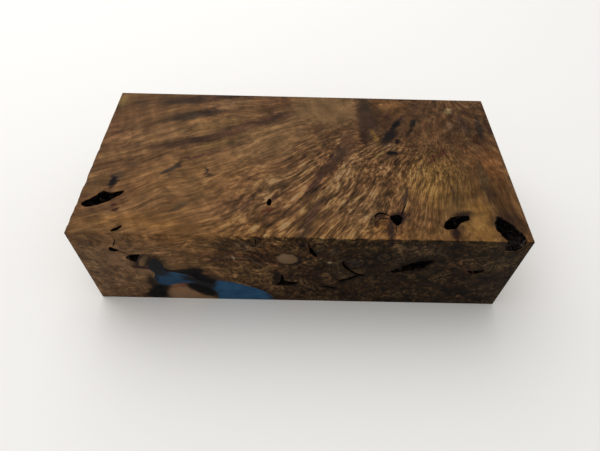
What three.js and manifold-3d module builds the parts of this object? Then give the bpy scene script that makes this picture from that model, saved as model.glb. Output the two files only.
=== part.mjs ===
// A block of maple burl, sawn and sanded square for turning or for handle scales. Natural voids
// open on its faces, and blue resin, cast into the largest one, shows on the front and underneath.
// Millimetres, +Z up. The origin is the middle of the underside, +X runs along the block and +Y
// runs from its front face to its back face.

import * as THREE from "three";
import { RoundedBoxGeometry } from "three/addons/geometries/RoundedBoxGeometry.js";
import { mergeVertices } from "three/addons/utils/BufferGeometryUtils.js";
import Module from "manifold-3d";

// Driving dimensions of the blank.
const blockLength = 127;
const blockWidth = 62.8;
const blockHeight = 33.7;
const brokenEdge = 0.35; // radius left on the sawn edges by a light sanding

const halfLength = blockLength / 2;
const halfWidth = blockWidth / 2;

// The resin seam: its outline on the front face, and how it runs into the block.
const seamDepth = 46; // from the front face to the seam's narrow end, inside the block
const seamTaper = 0.64; // share of its size that the seam loses over that depth
const seamDrift = 17; // travel towards the right-hand end over that depth
const seamWander = 2.6; // sideways meander on the way
const seamDip = 1; // travel down over that depth
const seamSteps = 14;
const glueGap = 0.3; // clearance between the resin and the wall of its pocket
const seamOvershoot = 2; // how far the cutters stand out of the face before they are trimmed

const colours = { burl: 0x6b4c30, resin: 0x1f3f63 };

// Directions of each face: across it, up it, and out of it. The origin is on the face.
const faces = {
  top: { across: [1, 0, 0], up: [0, 1, 0], out: [0, 0, 1], at: [0, 0, blockHeight] },
  underside: { across: [1, 0, 0], up: [0, -1, 0], out: [0, 0, -1], at: [0, 0, 0] },
  front: { across: [1, 0, 0], up: [0, 0, 1], out: [0, -1, 0], at: [0, -halfWidth, 0] },
  back: { across: [-1, 0, 0], up: [0, 0, 1], out: [0, 1, 0], at: [0, halfWidth, 0] },
  leftEnd: { across: [0, -1, 0], up: [0, 0, 1], out: [-1, 0, 0], at: [-halfLength, 0, 0] },
  rightEnd: { across: [0, 1, 0], up: [0, 0, 1], out: [1, 0, 0], at: [halfLength, 0, 0] },
};

// Natural voids: the face that each opens on, its depth, and its mouth as corner points measured
// across and up that face. A mouth that runs past an edge breaks out through the next face.
const voids = [
  // The long shard-shaped void near the left-hand end of the top.
  {
    face: "top",
    depth: 4.2,
    mouth: [
      [-62.1, -20.7], [-57.2, -15.8], [-54.6, -16.3], [-51.1, -15.5], [-53.4, -18.6],
      [-60, -22.1],
    ],
  },
  // A slit beside the front edge, and a pinhole in the middle of the figure.
  {
    face: "top",
    depth: 2,
    mouth: [[-51.4, -30.4], [-50, -29], [-48.5, -28.3], [-48.8, -29.5], [-50.3, -30.6]],
  },
  {
    face: "top",
    depth: 2.6,
    mouth: [[-9.8, -19.6], [-9.3, -17.4], [-8.4, -18], [-8.6, -20]],
  },
  // The heart of the knot.
  {
    face: "top",
    depth: 4,
    mouth: [[25.1, -22.9], [27.6, -22.6], [28.4, -24], [27.5, -26.3], [26.3, -26.5], [25.4, -24.6]],
  },
  // The bean-shaped void.
  {
    face: "top",
    depth: 5,
    mouth: [
      [39.5, -26.4], [40.8, -24.3], [43, -22.9], [47.4, -22.3], [46.9, -24], [44.6, -25.2],
      [42.9, -27], [40.6, -27.6],
    ],
  },
  // The large void at the corner, which breaks out through the front face.
  {
    face: "top",
    depth: 4.4,
    mouth: [
      [55.8, -22.2], [54.1, -24.6], [54, -27.6], [56, -31], [56.4, -34], [61.2, -34], [61.6, -31],
      [60.9, -28.2], [58.6, -25],
    ],
  },
  // The chain of two voids that leads down to the resin on the front.
  {
    face: "front",
    depth: 2.4,
    mouth: [[-53.6, 26], [-52.8, 27.9], [-51.9, 27.1], [-50.6, 26], [-51.8, 25.4]],
  },
  {
    face: "front",
    depth: 3.2,
    mouth: [[-49.9, 22.4], [-48.3, 24], [-45.3, 24.4], [-46.3, 22.7], [-47.6, 20.4]],
  },
  // The long bark-lined void on the right of the front, and the three small ones round it.
  {
    face: "front",
    depth: 4.2,
    mouth: [
      [26.8, 17.9], [29, 20.2], [32.9, 23.1], [37.2, 24.3], [38.9, 24], [37.3, 21.4],
      [35.2, 19.4], [31.7, 18.6], [28.8, 17.5],
    ],
  },
  {
    face: "front",
    depth: 2.2,
    mouth: [[49.3, 19.4], [51.7, 19.4], [54.3, 20], [54, 18.5], [52, 17.5], [50.1, 18.1]],
  },
  {
    face: "front",
    depth: 2.6,
    mouth: [
      [-5.6, 14.8], [-4.7, 14.6], [-4.2, 11.9], [-0.4, 11.2], [-0.6, 10.2], [-4, 9.2],
      [-7.3, 9.2], [-5.8, 11.4],
    ],
  },
  {
    face: "front",
    depth: 2,
    mouth: [[2.5, 29.2], [3.5, 28.6], [5.2, 24.9], [4.1, 24.9], [2.8, 27]],
  },
  // Voids on the faces that are out of sight.
  {
    face: "back",
    depth: 3.4,
    mouth: [[-31, 12.2], [-27.5, 15.4], [-22, 16.6], [-24.4, 13.4], [-28.6, 10.9]],
  },
  {
    face: "back",
    depth: 2.4,
    mouth: [[18, 24.2], [20.4, 26.3], [22.3, 25.6], [21.2, 23.4], [19, 22.9]],
  },
  {
    face: "underside",
    depth: 3.6,
    mouth: [[30.5, 6.4], [34, 9.8], [39.6, 10.2], [37.8, 7], [33.6, 4.6]],
  },
  {
    face: "underside",
    depth: 2.2,
    mouth: [[-46.2, -13.2], [-44.2, -10.9], [-41.4, -10.4], [-42.8, -12.6], [-44.6, -13.9]],
  },
  {
    face: "rightEnd",
    depth: 3,
    mouth: [[4.4, 12.6], [6.2, 16.2], [9.4, 18.4], [9, 14.8], [6.8, 11.9]],
  },
];
const floorRound = 0.28; // how soon a void starts to close in, as a share of its depth
const floorInset = 0.11; // how far it has closed in at its floor, as a share of its depth
const mouthMargin = 3; // how far a cutter stands out of the face that it opens

// Kerf marks of the bandsaw, which run up the left-hand end: place along the end, width and depth.
const kerfMarks = [
  { y: 3, width: 1.6, depth: 0.28 },
  { y: -11.4, width: 3.6, depth: 0.4 },
  { y: -18.6, width: 4.2, depth: 0.38 },
  { y: -22, width: 1.8, depth: 0.22 },
  { y: -26.8, width: 2.4, depth: 0.25 },
];
const kerfSides = 40;

// The seam's mouth on the front face, across and up: a smoky branch that climbs towards the chain of
// voids, a broad lobe on the left, a narrow neck, and a lobe on the right that runs out through the
// underside.
const seamMouth = [
  [-44.9, 17.6], [-43.6, 14.9], [-44.3, 11.6], [-43.4, 8.6], [-40.4, 8], [-37, 9.4], [-33.6, 9.6],
  [-30.8, 8.6], [-28.2, 7], [-26.4, 4.4], [-25.9, 1.4], [-25.6, -3], [-17, -5], [-8.4, -3],
  [-8.1, 0.6], [-9.9, 4.3], [-14, 7.4], [-20, 10.2], [-24.9, 11.2], [-26.8, 9.7], [-29.2, 10.3],
  [-31.6, 11.8], [-34, 14], [-37.4, 15.4], [-40.2, 15.9], [-40.1, 19.4], [-42.3, 22.4],
];
const seamCentre = { x: -25, z: 6 };

const wasm = await Module();
wasm.setup();

// A closed three.js geometry as a manifold-3d solid.
function solidOf(geometry) {
  const bare = geometry.clone().deleteAttribute("normal").deleteAttribute("uv");
  const merged = mergeVertices(bare, 1e-4);
  const vertProperties = merged.attributes.position.array;
  const triVerts = new Uint32Array(merged.index.array);
  return new wasm.Manifold(new wasm.Mesh({ numProp: 3, vertProperties, triVerts }));
}

// A manifold-3d solid as a flat-shaded three.js geometry.
function geometryOf(solid) {
  const { vertProperties, triVerts, numProp } = solid.getMesh();
  const buffer = new THREE.InterleavedBuffer(vertProperties, numProp);
  const positions = new THREE.InterleavedBufferAttribute(buffer, 3, 0);
  const geometry = new THREE.BufferGeometry().setAttribute("position", positions);
  const flat = geometry.setIndex(new THREE.BufferAttribute(triVerts, 1)).toNonIndexed();
  flat.computeVertexNormals();
  return flat;
}

// A smooth closed curve through the corner points, as a list of 2-D points.
function smoothLoop(corners, perCorner) {
  const stops = corners.map(([across, up]) => new THREE.Vector3(across, up, 0));
  const curve = new THREE.CatmullRomCurve3(stops, true, "centripetal");
  return curve
    .getPoints(corners.length * perCorner)
    .slice(0, -1)
    .map((p) => new THREE.Vector2(p.x, p.y));
}

// The loop moved outwards all round by a distance, with mitred corners.
function grown(loop, distance) {
  const sense = THREE.ShapeUtils.isClockWise(loop) ? -1 : 1;
  return loop.map((point, i) => {
    const arriving = point.clone().sub(loop.at(i - 1)).normalize();
    const leaving = loop[(i + 1) % loop.length].clone().sub(point).normalize();
    const along = arriving.clone().add(leaving).normalize();
    const mitre = distance / Math.max(along.dot(arriving), 0.5);
    return new THREE.Vector2(along.y, -along.x).multiplyScalar(sense * mitre).add(point);
  });
}

// The matrix that carries across, up and out of a face to the block's own axes.
function ontoFace(face) {
  const { across, up, out, at } = faces[face];
  return new THREE.Matrix4()
    .makeBasis(new THREE.Vector3(...across), new THREE.Vector3(...up), new THREE.Vector3(...out))
    .setPosition(...at);
}

// The cutter of one void: straight walls at its mouth, closing in to a rounded floor.
function voidCutter({ face, depth, mouth }) {
  const shape = new THREE.Shape(smoothLoop(mouth, 2));
  const round = depth * floorRound;
  const inset = depth * floorInset;
  const geometry = new THREE.ExtrudeGeometry(shape, {
    depth: depth - round + mouthMargin,
    bevelThickness: round,
    bevelSize: inset,
    bevelOffset: -inset,
    bevelSegments: 2,
  });
  return solidOf(geometry.translate(0, 0, round - depth).applyMatrix4(ontoFace(face)));
}

// The cutter of one kerf mark: the side of a tall cylinder that just bites into the end.
function kerfCutter({ y, width, depth }) {
  const radius = (width * width) / (8 * depth) + depth / 2;
  const cylinder = new THREE.CylinderGeometry(radius, radius, blockHeight * 2, kerfSides);
  cylinder.rotateX(Math.PI / 2);
  return solidOf(cylinder.translate(-halfLength - radius + depth, y, blockHeight / 2));
}

// The seam, from its mouth on the front face to its narrow end inside the block. With some extra it
// is the cutter of the pocket that it fills.
function seamSolid(extra) {
  const length = seamDepth + seamOvershoot + extra;
  const shape = new THREE.Shape(grown(smoothLoop(seamMouth, 2), extra));
  const geometry = new THREE.ExtrudeGeometry(shape, {
    depth: length,
    steps: seamSteps,
    bevelEnabled: false,
  });
  const place = geometry.getAttribute("position");
  for (let i = 0; i < place.count; i += 1) {
    const inward = place.getZ(i) - seamOvershoot;
    const share = Math.max(inward / seamDepth, 0);
    const size = 1 - seamTaper * share ** 1.4;
    const shift = seamDrift * share + seamWander * Math.sin(share * Math.PI * 2);
    const x = seamCentre.x + (place.getX(i) - seamCentre.x) * size + shift;
    const z = seamCentre.z + (place.getY(i) - seamCentre.z) * size - seamDip * share;
    place.setXYZ(i, x, inward - halfWidth, z);
  }
  // Swapping the depth and height axes turned every face round, so the solid is turned back.
  return solidOf(turnedInsideOut(geometry));
}

// The same closed surface with the corners of each triangle in the other order.
function turnedInsideOut(geometry) {
  const bare = geometry.clone().deleteAttribute("normal").deleteAttribute("uv");
  const merged = mergeVertices(bare, 1e-4);
  const order = merged.index.array;
  for (let i = 0; i < order.length; i += 3) {
    [order[i + 1], order[i + 2]] = [order[i + 2], order[i + 1]];
  }
  return merged;
}

// The sanded blank before anything opens on its faces.
function blankSolid() {
  const box = new RoundedBoxGeometry(blockLength, blockWidth, blockHeight, 1, brokenEdge);
  return solidOf(box.translate(0, 0, blockHeight / 2));
}

function burlBlock(blank) {
  const cutters = [...voids.map(voidCutter), ...kerfMarks.map(kerfCutter), seamSolid(glueGap)];
  return cutters.reduce((solid, cutter) => solid.subtract(cutter), blank);
}

function blueResinSeam(blank) {
  return seamSolid(0).intersect(blank);
}

function namedMesh(name, solid, material) {
  const mesh = new THREE.Mesh(geometryOf(solid), new THREE.MeshStandardMaterial(material));
  mesh.name = name;
  return mesh;
}

const blank = blankSolid();
const part = new THREE.Group();
part.add(
  namedMesh("burl_block", burlBlock(blank), { color: colours.burl, roughness: 0.5, metalness: 0 }),
  namedMesh("blue_resin_seam", blueResinSeam(blank), {
    color: colours.resin,
    roughness: 0.2,
    metalness: 0,
  }),
);

export default part;
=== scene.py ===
# A block of maple burl, sawn and sanded square, with natural voids and a cast blue resin seam.
# The solids are worked in millimetres and brought to metres as each piece is finished.
import math

import bmesh
import bpy
from mathutils import Matrix, Vector, noise


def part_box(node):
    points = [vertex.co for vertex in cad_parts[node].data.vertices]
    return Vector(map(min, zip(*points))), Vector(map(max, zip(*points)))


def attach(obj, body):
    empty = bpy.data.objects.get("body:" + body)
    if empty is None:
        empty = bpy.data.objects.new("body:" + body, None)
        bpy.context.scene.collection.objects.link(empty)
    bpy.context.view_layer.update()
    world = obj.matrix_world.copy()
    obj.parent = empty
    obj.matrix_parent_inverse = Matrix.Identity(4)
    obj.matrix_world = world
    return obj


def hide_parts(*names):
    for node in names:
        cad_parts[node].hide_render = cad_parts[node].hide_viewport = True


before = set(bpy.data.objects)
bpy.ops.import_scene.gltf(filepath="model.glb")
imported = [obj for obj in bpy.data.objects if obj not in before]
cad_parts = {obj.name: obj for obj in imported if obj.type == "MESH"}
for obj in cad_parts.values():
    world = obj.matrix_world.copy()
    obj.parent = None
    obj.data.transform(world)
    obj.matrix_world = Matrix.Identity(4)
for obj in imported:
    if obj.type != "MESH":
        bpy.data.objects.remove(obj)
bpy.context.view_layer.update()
print("frame loaded")

mm = 0.001
low, high = (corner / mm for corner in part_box("burl_block"))
size = high - low
middle = (low + high) / 2

# Each face: the directions across it, up it and out of it, and a point on it.
faces = {
    "top": (Vector((1, 0, 0)), Vector((0, 1, 0)), Vector((0, 0, high.z))),
    "underside": (Vector((1, 0, 0)), Vector((0, -1, 0)), Vector((0, 0, low.z))),
    "front": (Vector((1, 0, 0)), Vector((0, 0, 1)), Vector((0, low.y, 0))),
    "back": (Vector((-1, 0, 0)), Vector((0, 0, 1)), Vector((0, high.y, 0))),
    "rightEnd": (Vector((0, 1, 0)), Vector((0, 0, 1)), Vector((high.x, 0, 0))),
}


# Carries a shape drawn flat, with its depth along -Z, onto a face of the block.
def ontoFace(face):
    across, up, place = faces[face]
    turn = Matrix((across, up, across.cross(up))).transposed()
    return Matrix.Translation(place) @ turn.to_4x4()


# A bmesh as an object of its own, in millimetres.
def asObject(bm, name):
    mesh = bpy.data.meshes.new(name)
    bmesh.ops.recalc_face_normals(bm, faces=bm.faces)
    bm.to_mesh(mesh)
    bm.free()
    made = bpy.data.objects.new(name, mesh)
    bpy.context.scene.collection.objects.link(made)
    return made


# Works an object's modifiers into its mesh.
def settle(made):
    bpy.context.view_layer.update()
    ready = made.evaluated_get(bpy.context.evaluated_depsgraph_get())
    mesh = bpy.data.meshes.new_from_object(ready)
    made.modifiers.clear()
    made.data = mesh
    return made


# Cuts or trims one object with others, which are used up.
def carve(made, tools, operation):
    for tool in tools:
        cut = made.modifiers.new(tool.name, "BOOLEAN")
        cut.operation = operation
        cut.solver = "MANIFOLD"
        cut.object = tool
    settle(made)
    for tool in tools:
        bpy.data.objects.remove(tool)
    return made


# A smooth closed line through a few corner points.
def roundedLoop(corners, perCorner):
    line = []
    count = len(corners)
    for i in range(count):
        a, b, c, d = (Vector(corners[(i + k) % count]) for k in (-1, 0, 1, 2))
        for step in range(perCorner):
            t = step / perCorner
            line.append(
                0.5 * (2 * b + (c - a) * t + (2 * a - 5 * b + 4 * c - d) * t * t
                       + (3 * b - a - 3 * c + d) * t * t * t)
            )
    return line


# The blank: the block as sawn, with its edges broken and the bandsaw's marks on the left end.
blank = {
    "brokenEdge": 0.35,
    "edgeSteps": 3,
    "sawPitch": 0.42,  # spacing of the slices that carry the saw marks
    "sawLean": 3,  # degrees that the marks lean from upright
    "ripple": 0.05,  # depth of the slight unevenness between them
    "rippleScale": 1.3,
    "rippleSeed": 5,
    # Place along the end, width and depth of each deeper mark.
    "marks": [(3, 1.5, 0.18), (-11.4, 2.4, 0.26), (-17.4, 1.4, 0.14), (-19.6, 1.8, 0.24),
              (-22.6, 1.3, 0.16), (-26.8, 1.6, 0.18), (-29.4, 1, 0.1), (12.5, 2.2, 0.08),
              (-4.6, 1.6, 0.12), (22, 3, 0.06)],
}


# How far the saw bit into the left end at a place along it.
def sawBite(place):
    spot = Vector((place * blank["rippleScale"], 0, blank["rippleSeed"]))
    bite = blank["ripple"] * (1 + noise.noise(spot)) / 2
    for at, width, depth in blank["marks"]:
        off = (place - at) / width
        if abs(off) < 1:
            bite = max(bite, depth * (1 - off * off))
    return bite


# A sawn blank: a box with broken edges, sliced along its width so that its end can carry marks.
def sawnBlank(name):
    bm = bmesh.new()
    bmesh.ops.create_cube(bm, size=1)
    bmesh.ops.scale(bm, vec=size, verts=bm.verts)
    bmesh.ops.translate(bm, vec=middle, verts=bm.verts)
    bmesh.ops.bevel(
        bm, geom=bm.edges[:], offset=blank["brokenEdge"], segments=blank["edgeSteps"],
        profile=0.5, affect="EDGES", material=-1,
    )
    lean = math.radians(blank["sawLean"])
    across = Vector((0, math.cos(lean), math.sin(lean)))
    slices = int(size.y / blank["sawPitch"])
    for i in range(1, slices):
        bmesh.ops.bisect_plane(
            bm, geom=bm.verts[:] + bm.edges[:] + bm.faces[:], dist=1e-4,
            plane_co=(0, low.y + i * size.y / slices, middle.z), plane_no=across,
        )
    endReach = low.x + blank["brokenEdge"] * 1.1  # the end face and its broken edges
    for vert in bm.verts:
        if vert.co.x < endReach:
            vert.co.x += sawBite((vert.co - Vector((0, 0, middle.z))).dot(across))
    return asObject(bm, name)


# Natural voids: face, depth, how lumpy the walls are, and the mouth as corner points in
# millimetres across and up the face.
voids = {
    "voxel": 0.3,
    "margin": 3,  # how far a cutter stands out of its face
    "smoothness": 4,  # points for each corner of a mouth
    "closing": 0.35,  # how much narrower a void is at its floor
    "swellScale": 0.9,
    "pitScale": 2.6,
    "pitShare": 0.5,  # depth of the pits against the swellings
    "seedStep": 7.3,  # sets each void's noise apart
    "list": [
        ("top", 4.2, 0.16, [(-62.1, -20.7), (-59.4, -18.2), (-57.2, -15.8), (-54.6, -16.3),
                            (-51.1, -15.5), (-52, -17.4), (-56, -20.6), (-60, -22.1)]),
        ("top", 2, 0.12, [(-51.4, -30.4), (-50, -29), (-48.5, -28.3), (-48.8, -29.5),
                          (-50.3, -30.6)]),
        ("top", 2.6, 0.1, [(-9.8, -19.6), (-9.3, -17.4), (-8.4, -18), (-8.6, -20)]),
        ("top", 4, 0.3, [(25.1, -22.9), (27.6, -22.6), (28.4, -24), (27.5, -26.3),
                         (26.3, -26.5), (25.4, -24.6)]),
        ("top", 5, 0.32, [(39.5, -26.4), (40.8, -24.3), (43, -22.9), (47.4, -22.3),
                          (46.9, -24), (44.6, -25.2), (42.9, -27), (40.6, -27.6)]),
        ("top", 4.4, 0.4, [(55.8, -22.2), (54.1, -24.6), (54, -27.6), (56, -31), (56.4, -34),
                           (61.2, -34), (61.6, -31), (60.9, -28.2), (58.6, -25)]),
        ("front", 2.4, 0.16, [(-53.6, 26), (-52.8, 27.9), (-51.9, 27.1), (-50.6, 26),
                              (-51.8, 25.4)]),
        ("front", 3.2, 0.2, [(-49.9, 22.4), (-48.3, 24), (-45.3, 24.4), (-46.3, 22.7),
                             (-47.6, 20.4)]),
        ("front", 4.2, 0.3, [(26.8, 17.9), (29, 20.2), (32.9, 23.1), (37.2, 24.3), (38.9, 24),
                             (37.3, 21.4), (35.2, 19.4), (31.7, 18.6), (28.8, 17.5)]),
        ("front", 2.2, 0.14, [(49.3, 19.4), (51.7, 19.4), (54.3, 20), (54, 18.5), (52, 17.5),
                              (50.1, 18.1)]),
        ("front", 2.6, 0.16, [(-5.6, 14.8), (-4.7, 14.6), (-4.2, 11.9), (-0.4, 11.2),
                              (-0.6, 10.2), (-4, 9.2), (-7.3, 9.2), (-5.8, 11.4)]),
        ("front", 2, 0.12, [(2.5, 29.2), (3.5, 28.6), (5.2, 24.9), (4.1, 24.9), (2.8, 27)]),
        ("back", 3.4, 0.25, [(-31, 12.2), (-27.5, 15.4), (-22, 16.6), (-24.4, 13.4),
                             (-28.6, 10.9)]),
        ("back", 2.4, 0.2, [(18, 24.2), (20.4, 26.3), (22.3, 25.6), (21.2, 23.4), (19, 22.9)]),
        ("underside", 3.6, 0.25, [(30.5, 6.4), (34, 9.8), (39.6, 10.2), (37.8, 7),
                                  (33.6, 4.6)]),
        ("underside", 2.2, 0.16, [(-46.2, -13.2), (-44.2, -10.9), (-41.4, -10.4),
                                  (-42.8, -12.6), (-44.6, -13.9)]),
        ("rightEnd", 3, 0.2, [(4.4, 12.6), (6.2, 16.2), (9.4, 18.4), (9, 14.8), (6.8, 11.9)]),
    ],
}


# Draws a solid's end face out into a new one, and gives that face and its corners.
def drawOut(bm, end, isFirst):
    grown = bmesh.ops.extrude_face_region(bm, geom=[end])["geom"]
    if not isFirst:
        bmesh.ops.delete(bm, geom=[end], context="FACES_ONLY")
    newEnd = next(part for part in grown if isinstance(part, bmesh.types.BMFace))
    return newEnd, newEnd.verts[:]


# A closed prism from an outline, down to a depth and closing in on the way. Its walls turn in
# faster below a knee, at a share of the depth and with a share of the closing done.
def sunkPrism(outline, depth, margin, closing):
    kneeDepth, kneeClosing = 0.55, 0.3
    bm = bmesh.new()
    end = bm.faces.new([bm.verts.new((point[0], point[1], margin)) for point in outline])
    heart = end.calc_center_median()
    steps = [
        (margin, 1),
        (depth * kneeDepth, 1 - closing * kneeClosing),
        (depth * (1 - kneeDepth), 1 - closing),
    ]
    for i, (drop, share) in enumerate(steps):
        end, verts = drawOut(bm, end, i == 0)
        bmesh.ops.translate(bm, vec=(0, 0, -drop), verts=verts)
        bmesh.ops.scale(
            bm, vec=(share, share, 1), verts=verts, space=Matrix.Translation(-heart),
        )
    return bm


# The cutter of one void, its walls swollen and pitted as the bark that lined it left them.
def voidCutter(number, face, depth, lump, mouth):
    outline = roundedLoop(mouth, voids["smoothness"])
    bm = sunkPrism(outline, depth, voids["margin"], voids["closing"])
    cutter = asObject(bm, f"void{number}")
    remesh = cutter.modifiers.new("remesh", "REMESH")
    remesh.mode = "VOXEL"
    remesh.voxel_size = voids["voxel"]
    settle(cutter)
    seed = Vector((number * voids["seedStep"], 0, 0))
    for vert in cutter.data.vertices:
        swell = noise.noise(vert.co * voids["swellScale"] + seed) * lump
        pit = noise.noise(vert.co * voids["pitScale"] + seed) * lump * voids["pitShare"]
        vert.co += vert.normal * (swell + pit)
    cutter.data.transform(ontoFace(face))
    return cutter


# Hairline cracks: face, nominal width, and the path that each follows.
cracks = {
    "depth": 0.9,
    "margin": 1,  # how far a cutter stands out of its face
    "smoothness": 3,  # points for each corner of its outline
    "closing": 0.04,
    "opening": 0.7,  # half of how wide a crack gapes, against its nominal width
    "wander": 0.35,  # how much that varies along it
    "wanderSeed": 3,
    "list": [
        ("front", 0.66, [(12.4, 23.9), (12.9, 21), (14.6, 18.6), (17, 16.5), (18.6, 15.9),
                         (20.2, 15.3)]),
        ("front", 0.74, [(18, 16), (16.4, 14.7), (14.6, 13.5), (12.8, 12.5), (11.4, 11.6)]),
        ("front", 0.5, [(6.9, 9), (8.6, 9), (10.4, 8.5), (12.4, 7.7)]),
        ("front", 0.3, [(20.6, 12.9), (21.6, 12), (23, 11.3), (24.4, 10.8)]),
        ("front", 0.3, [(25.6, 12.6), (27, 12), (28.6, 12), (30, 11.2), (31.6, 9.9)]),
        ("front", 0.24, [(-51, 26.3), (-50, 25.4), (-48.9, 24.6), (-47.8, 24.1)]),
        ("front", 0.2, [(-51, 33), (-50.7, 31), (-51.4, 29), (-52.2, 27.6)]),
        ("front", 0.2, [(-12, 33), (-12.2, 31.4), (-12, 29.8)]),
        ("front", 0.26, [(2.4, 31.8), (2.3, 30.4), (2.7, 28.8), (3.4, 27.4)]),
        ("top", 0.36, [(20.9, -24.2), (21.1, -22.9), (22.2, -22.1), (23.6, -22.4),
                       (25.3, -23.3)]),
        ("top", 0.24, [(21.4, -25.2), (22.2, -24.2), (23.6, -23.9), (25.2, -24.6)]),
        ("top", 0.26, [(26.6, -26.2), (26.2, -27.6), (26.6, -29.2)]),
        ("top", 0.22, [(28.2, -22.8), (28.9, -21.2), (29.8, -19.4), (30.6, -17.4)]),
        ("back", 0.26, [(-38, 9.6), (-35, 10.6), (-32.6, 11.6), (-30, 12.9)]),
        ("rightEnd", 0.26, [(-14, 6.2), (-11.6, 8.4), (-9.9, 11.4), (-9.2, 14.4)]),
    ],
}


# A slender closed outline along a path, pointed at both ends.
def sliver(path, width):
    points = [Vector(point) for point in path]
    left, right = [], []
    for i, point in enumerate(points[1:-1], 1):
        along = (points[i + 1] - points[i - 1]).normalized()
        drift = noise.noise(Vector((point.x, point.y, cracks["wanderSeed"])))
        half = width * cracks["opening"] * (1 + cracks["wander"] * drift)
        aside = Vector((-along.y, along.x)) * half
        left.append(point + aside)
        right.append(point - aside)
    return [points[0], *right, points[-1], *reversed(left)]


# The cutter of one crack.
def crackCutter(number, face, width, path):
    outline = roundedLoop(sliver(path, width), cracks["smoothness"])
    bm = sunkPrism(outline, cracks["depth"], cracks["margin"], cracks["closing"])
    cutter = asObject(bm, f"crack{number}")
    cutter.data.transform(ontoFace(face))
    return cutter


# The resin seam: its mouth on the front face, and how it runs back into the block.
seam = {
    "depth": 46,
    "taper": 0.64,  # how much smaller it is at its far end
    "taperCurve": 1.4,  # above 1, most of that comes late
    "drift": 17,  # how far it runs to the right on its way in
    "wander": 2.6,  # and how far it strays from side to side
    "dip": 1,
    "smoothness": 4,  # points for each corner of its mouth
    "steps": 20,
    "overshoot": 2,  # how far the solid stands out of the front
    "centre": Vector((-25, 0, 6)),  # what it shrinks towards
    "mouth": [(-44.9, 17.6), (-43.6, 14.9), (-44.3, 11.6), (-43.4, 8.6), (-40.4, 8), (-37, 9.4),
              (-33.6, 9.6), (-30.8, 8.6), (-28.2, 7), (-26.4, 4.4), (-25.9, 1.4), (-25.6, -3),
              (-17, -5), (-8.4, -3), (-8.1, 0.6), (-9.9, 4.3), (-14, 7.4), (-20, 10.2),
              (-24.9, 11.2), (-26.8, 9.7), (-29.2, 10.3), (-31.6, 11.8), (-34, 14),
              (-37.4, 15.4), (-40.2, 15.9), (-40.1, 19.4), (-42.3, 22.4)],
}


# The seam as a closed solid that stands out of the front and the underside.
def seamSolid(name):
    bm = bmesh.new()
    front = low.y - seam["overshoot"]
    mouth = roundedLoop(seam["mouth"], seam["smoothness"])
    end = bm.faces.new([bm.verts.new((point.x, front, point.y)) for point in mouth])
    wasSize, wasShift = 1, Vector((0, front, 0))
    run = seam["depth"] + seam["overshoot"]
    for i in range(1, seam["steps"] + 1):
        inward = run * i / seam["steps"] - seam["overshoot"]
        share = max(inward / seam["depth"], 0)
        nowSize = 1 - seam["taper"] * share ** seam["taperCurve"]
        aside = seam["drift"] * share + seam["wander"] * math.sin(share * math.tau)
        nowShift = Vector((aside, low.y + inward, -seam["dip"] * share))
        heart = seam["centre"] + Vector((wasShift.x, 0, wasShift.z))
        end, verts = drawOut(bm, end, i == 1)
        bmesh.ops.scale(
            bm, vec=(nowSize / wasSize, 1, nowSize / wasSize), verts=verts,
            space=Matrix.Translation(-heart),
        )
        bmesh.ops.translate(bm, vec=nowShift - wasShift, verts=verts)
        wasSize, wasShift = nowSize, nowShift
    return asObject(bm, name)


# One small function adds a node, with its settings and what feeds its sockets.
def addNode(tree, kind, feeds, stops=(), **settings):
    node = tree.nodes.new("ShaderNode" + kind)
    for name, value in settings.items():
        setattr(node, name, value)
    for i, (place, colour) in enumerate(stops):
        stop = node.color_ramp.elements[i] if i < 2 else node.color_ramp.elements.new(place)
        stop.position = place
        stop.color = paint(colour)
    sockets = [socket for socket in node.inputs if socket.enabled]
    for key, value in feeds.items():
        target = sockets[key] if isinstance(key, int) else next(s for s in sockets if s.name == key)
        if isinstance(value, bpy.types.Node):
            value = next(socket for socket in value.outputs if socket.enabled)
        if isinstance(value, bpy.types.NodeSocket):
            tree.links.new(value, target)
        else:
            target.default_value = value
    return node


# An sRGB hex colour as the linear colour that a shader takes.
def paint(hexColour):
    parts = [int(hexColour[i:i + 2], 16) / 255 for i in (0, 2, 4)]
    return (*[p / 12.92 if p < 0.04045 else ((p + 0.055) / 1.055) ** 2.4 for p in parts], 1)


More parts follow.
